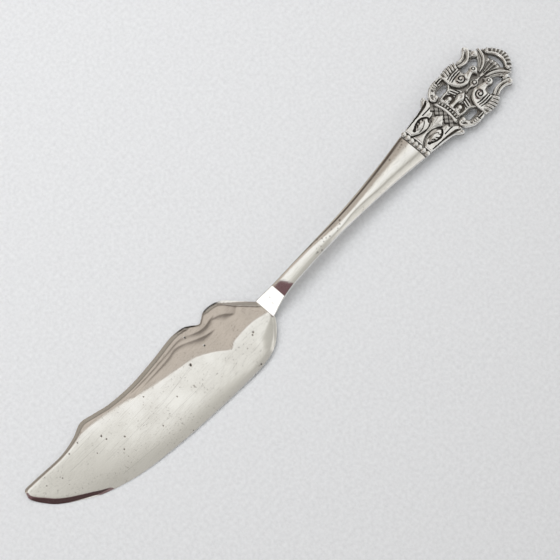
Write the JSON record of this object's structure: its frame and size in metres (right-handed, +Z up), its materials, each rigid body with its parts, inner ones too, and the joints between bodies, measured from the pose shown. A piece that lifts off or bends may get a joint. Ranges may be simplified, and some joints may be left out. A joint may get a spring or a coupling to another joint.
{
  "type": "butter knife",
  "caption": "Silver butter knife with a broad scalloped blade, an arched stem and a pierced handle end with a coronet between two birds, scrolls and leaves.",
  "frame": {"origin": "under the middle of the knife's box, on the table", "axes": "+X along the knife from the blade's tip to the handle end, +Y towards the blade's spine, +Z up from the table"},
  "size_m": [0.161, 0.0232, 0.007],
  "materials": {
    "polished_silver": "polished silver worn by use, fine scratches",
    "oxidised_silver": "silver relief, bright on the high parts and oxidised dark in the recesses"
  },
  "bodies": {
    "root": {"blade": "polished_silver", "stem": "polished_silver", "ground_plate": "oxidised_silver", "bead_collar": "oxidised_silver", "center_acanthus_leaf": "oxidised_silver", "left_acanthus_leaf": "oxidised_silver", "right_acanthus_leaf": "oxidised_silver", "coronet": "oxidised_silver", "roundel": "oxidised_silver", "left_bird": "oxidised_silver", "right_bird": "oxidised_silver", "left_side_scroll": "oxidised_silver", "right_side_scroll": "oxidised_silver", "left_shoulder_scroll": "oxidised_silver", "right_shoulder_scroll": "oxidised_silver", "left_plume_leaf": "oxidised_silver", "right_plume_leaf": "oxidised_silver", "bulrush_spray": "oxidised_silver", "crest_arch": "oxidised_silver"}
  },
  "joints": []
}
